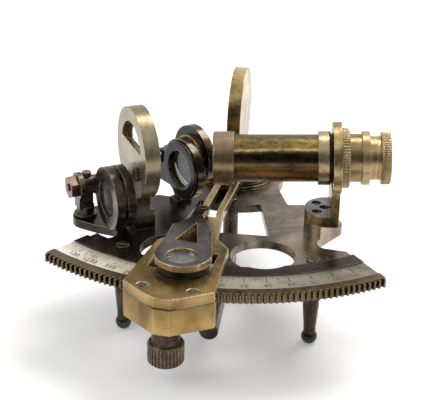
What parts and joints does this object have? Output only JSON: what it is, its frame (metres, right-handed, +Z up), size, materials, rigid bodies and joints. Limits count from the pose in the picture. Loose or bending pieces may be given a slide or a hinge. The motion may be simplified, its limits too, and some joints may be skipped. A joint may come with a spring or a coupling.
{
  "type": "sextant",
  "caption": "Small aged-brass sextant on three legs: toothed arc, swinging index arm with drive knob and magnifier, two round mirrors, tilting shades and a telescope.",
  "frame": {"origin": "centre of the rear foot's flat underside, on the surface the sextant stands on", "axes": "+Z up, -Y from the rear foot towards the toothed arc, +X towards the telescope's eyepiece side"},
  "size_m": [0.1033, 0.1126, 0.0686],
  "materials": {
    "frame_bronze": "polished dark bronze",
    "silver_scale": "silvered, aged",
    "screw_steel": "darkened",
    "arm_screw": "aged",
    "bracket_brass": "aged",
    "tube_patina": "mottled patina",
    "ring_bronze": "aged",
    "lock_brass": "aged",
    "draw_brass": "aged",
    "lens_glass": "clear",
    "horizon_brass": "aged, worn pale",
    "mirror_glass": "silvered",
    "index_brass": "aged, worn pale",
    "knurl_bronze": "knurled, dark",
    "stand_bronze": "aged, dark",
    "copper": "coppery",
    "far_shade_bronze": "dark, edges worn",
    "near_shade_black": "satin black, worn",
    "cell_brass": "aged",
    "shade_glass": "smoked",
    "arm_brass": "aged, worn bright on top",
    "block_brass": "aged, polished",
    "post_bronze": "dark",
    "loupe_bronze": "dark top, bright edge",
    "cell_black": "black"
  },
  "bodies": {
    "frame": {"frame_plate": "frame_bronze", "arc_scale": "silver_scale", "leg_front_left": "frame_bronze", "leg_front_right": "frame_bronze", "leg_rear": "frame_bronze", "leg_screws": "screw_steel", "handle_bar": "frame_bronze", "handle_post": "frame_bronze", "telescope_bracket": "bracket_brass", "bracket_screws": "screw_steel", "telescope_tube": "tube_patina", "objective_ring": "ring_bronze", "objective_lens": "lens_glass", "telescope_lock_ring": "lock_brass", "telescope_end_collar": "lock_brass", "horizon_frame": "horizon_brass", "horizon_mirror": "mirror_glass", "horizon_screws": "screw_steel", "horizon_adjuster": "knurl_bronze", "horizon_shade_bracket": "stand_bronze", "horizon_shade_bolt": "copper", "horizon_shade_nut": "copper", "horizon_shade_stop": "copper", "index_shade_bracket": "stand_bronze", "index_shade_bolt": "copper", "index_shade_screws": "screw_steel"},
    "index_arm": {"index_arm": "arm_brass", "arm_block": "block_brass", "arm_screws": "arm_screw", "vernier": "silver_scale", "pivot_pin": "screw_steel", "pivot_nut": "screw_steel", "index_mirror_frame": "index_brass", "index_mirror": "mirror_glass", "index_mirror_screws": "screw_steel", "magnifier_post": "post_bronze"},
    "drive_knob": {"drive_knob": "knurl_bronze", "drive_pinion": "screw_steel"},
    "magnifier": {"magnifier_frame": "loupe_bronze", "magnifier_cell": "cell_black", "magnifier_lens": "lens_glass"},
    "eyepiece": {"draw_tube": "draw_brass", "eyepiece": "draw_brass", "eye_lens": "lens_glass"},
    "horizon_shade_outer": {"horizon_shade_outer": "far_shade_bronze", "horizon_glass_outer": "shade_glass"},
    "horizon_shade_inner": {"horizon_shade_inner": "far_shade_bronze", "horizon_glass_inner": "shade_glass"},
    "index_shade_outer": {"index_shade_outer": "near_shade_black", "index_glass_outer": "shade_glass", "index_cell_outer": "near_shade_black"},
    "index_shade_inner": {"index_shade_inner": "near_shade_black", "index_glass_inner": "shade_glass", "index_cell_inner": "cell_brass"}
  },
  "joints": [
    {"name": "index_arm_swing", "type": "hinge", "parent": "frame", "child": "index_arm", "pos_m": [0, 0.02, 0.03], "axis": [0, 0, 1], "range_deg": [-11.5, 31]},
    {"name": "knob_spin", "type": "hinge", "parent": "index_arm", "child": "drive_knob", "pos_m": [-0.0113, -0.06823, 0.02], "axis": [0, 0, 1], "range_deg": [-290, 780]},
    {"name": "magnifier_swing", "type": "hinge", "parent": "index_arm", "child": "magnifier", "pos_m": [-0.00666, -0.02573, 0.0365], "axis": [0, 0, 1], "range_deg": [-5.5, 15]},
    {"name": "eyepiece_slide", "type": "slide", "parent": "frame", "child": "eyepiece", "axis": [0.9955, 0.0888, 0.0332], "range_m": [-0.0032, 0.005]},
    {"name": "horizon_shade_outer_swing", "type": "hinge", "parent": "frame", "child": "horizon_shade_outer", "pos_m": [-0.042, -0.0167, 0.0394], "axis": [-0.848, -0.5299, 0], "range_deg": [0, 95]},
    {"name": "horizon_shade_inner_swing", "type": "hinge", "parent": "frame", "child": "horizon_shade_inner", "pos_m": [-0.042, -0.0167, 0.0394], "axis": [-0.848, -0.5299, 0], "range_deg": [0, 95]},
    {"name": "index_shade_outer_swing", "type": "hinge", "parent": "frame", "child": "index_shade_outer", "pos_m": [-0.0226, -0.0001, 0.0432], "axis": [-0.7431, -0.6691, 0], "range_deg": [0, 100]},
    {"name": "index_shade_inner_swing", "type": "hinge", "parent": "frame", "child": "index_shade_inner", "pos_m": [-0.0226, -0.0001, 0.0432], "axis": [-0.7431, -0.6691, 0], "range_deg": [-17, 83]}
  ],
  "couplings": [
    {"joint": "knob_spin", "follows": "index_arm_swing", "ratio": 25}
  ]
}
